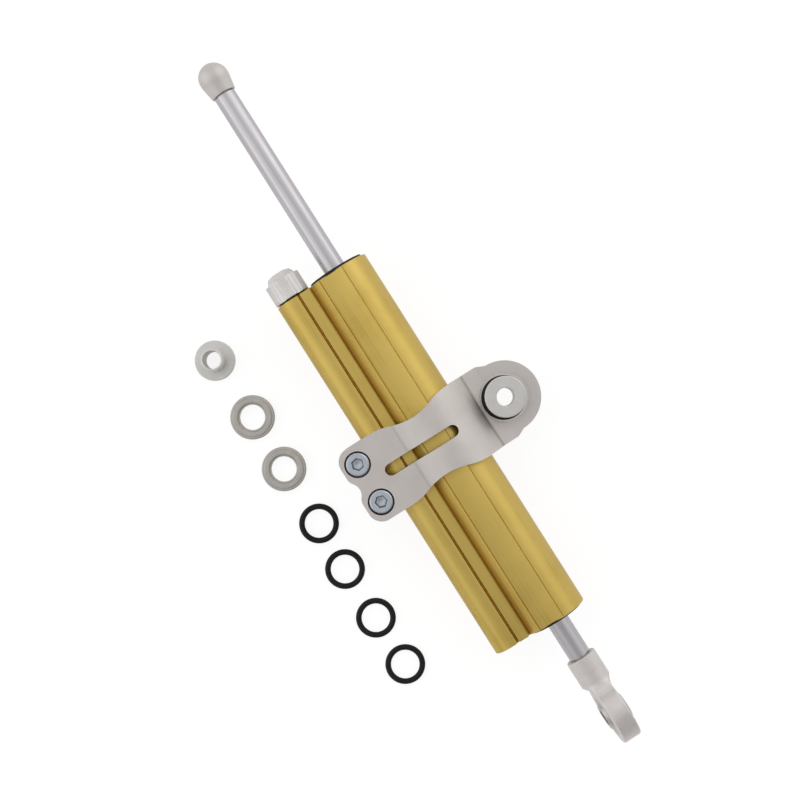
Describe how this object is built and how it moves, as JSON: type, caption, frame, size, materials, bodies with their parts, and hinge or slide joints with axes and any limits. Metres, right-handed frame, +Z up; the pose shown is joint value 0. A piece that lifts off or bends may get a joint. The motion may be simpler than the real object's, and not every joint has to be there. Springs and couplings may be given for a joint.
{
  "type": "motorcycle steering damper",
  "caption": "Gold through-rod steering damper with a silver frame clamp, six-lobed adjuster knob, chromed rod with end cap and rod end, and a loose fitting kit beside it.",
  "frame": {"origin": "Centre of the pivot bearing in the clamp's ear, on the axis of the bolt hole through its spacer.", "axes": "+X along the rod from the end cap to the rod end; +Y across the body from the rod towards the ear; +Z up along the pivot's bolt hole."},
  "size_m": [0.2821, 0.1015, 0.0292],
  "materials": {
    "gold_anodised": "satin gold anodised extrusion",
    "black_anodised": "black anodised",
    "clear_anodised": "fine blasted, clear anodised",
    "hard_chrome": "hard chromed and ground",
    "satin_steel": "turned, satin plated",
    "zinc_steel": "blue zinc plated",
    "bearing_steel": "polished",
    "spring_steel": "drawn wire",
    "bronze": "sintered",
    "slide_band": "filled plastic strip",
    "rubber": "matt black rubber"
  },
  "bodies": {
    "cylinder": {"cylinder_body": "gold_anodised", "cap_end_gland": "black_anodised", "eye_end_gland": "black_anodised", "gland_o_rings": "rubber", "rod_bushes": "bronze", "rod_seals": "rubber", "rod_wipers": "rubber", "adjuster_housing": "black_anodised", "housing_o_ring": "rubber", "detent_ball": "bearing_steel", "detent_spring": "spring_steel", "side_plug": "black_anodised", "side_plug_o_ring": "rubber", "compensator_spring": "spring_steel", "loose_flanged_spacer": "satin_steel", "loose_spacer_rings": "clear_anodised", "loose_o_rings": "rubber"},
    "clamp": {"clamp": "clear_anodised", "clamp_screws": "zinc_steel", "pivot_race": "bearing_steel", "pivot_seal_ring": "rubber"},
    "pivot_ball": {"pivot_ball": "bearing_steel"},
    "pivot_spacer": {"pivot_spacer": "satin_steel"},
    "piston": {"piston": "clear_anodised", "piston_band": "slide_band"},
    "rod": {"piston_rod": "hard_chrome", "piston_circlips": "satin_steel", "rod_cap": "satin_steel", "rod_end": "satin_steel", "eye_race": "bearing_steel"},
    "eye_ball": {"eye_ball": "bearing_steel"},
    "adjuster": {"adjuster_knob": "clear_anodised", "adjuster_stem": "satin_steel", "stem_o_ring": "rubber", "knob_grub_screw": "zinc_steel"},
    "compensator": {"compensator_piston": "clear_anodised", "compensator_o_ring": "rubber"}
  },
  "joints": [
    {"name": "rod_slide", "type": "slide", "parent": "cylinder", "child": "piston", "axis": [1, 0, 0], "range_m": [-0.0086, 0.0664]},
    {"name": "rod_spin", "type": "hinge", "parent": "piston", "child": "rod", "pos_m": [-0.0258, -0.0264, 0], "axis": [1, 0, 0], "continuous": true},
    {"name": "eye_tilt", "type": "hinge", "parent": "rod", "child": "eye_ball", "pos_m": [0.115, -0.0264, 0], "axis": [0, 0.0872, 0.9962], "range_deg": [-13, 13]},
    {"name": "clamp_slide", "type": "slide", "parent": "cylinder", "child": "clamp", "axis": [1, 0, 0], "range_m": [-0.05, 0.055]},
    {"name": "pivot_tilt", "type": "hinge", "parent": "clamp", "child": "pivot_ball", "pos_m": [0, 0, 0], "axis": [1, 0, 0], "range_deg": [-6, 6]},
    {"name": "pivot_turn", "type": "hinge", "parent": "pivot_ball", "child": "pivot_spacer", "pos_m": [0, 0, 0], "axis": [0, 0, 1], "continuous": true},
    {"name": "knob_turn", "type": "hinge", "parent": "cylinder", "child": "adjuster", "pos_m": [-0.075, -0.0444, 0], "axis": [1, 0, 0], "range_deg": [-135, 135]},
    {"name": "compensator_slide", "type": "slide", "parent": "cylinder", "child": "compensator", "axis": [1, 0, 0], "range_m": [-0.0015, 0.004], "stiffness_N_per_m": 500, "deforming": ["compensator_spring"]}
  ]
}
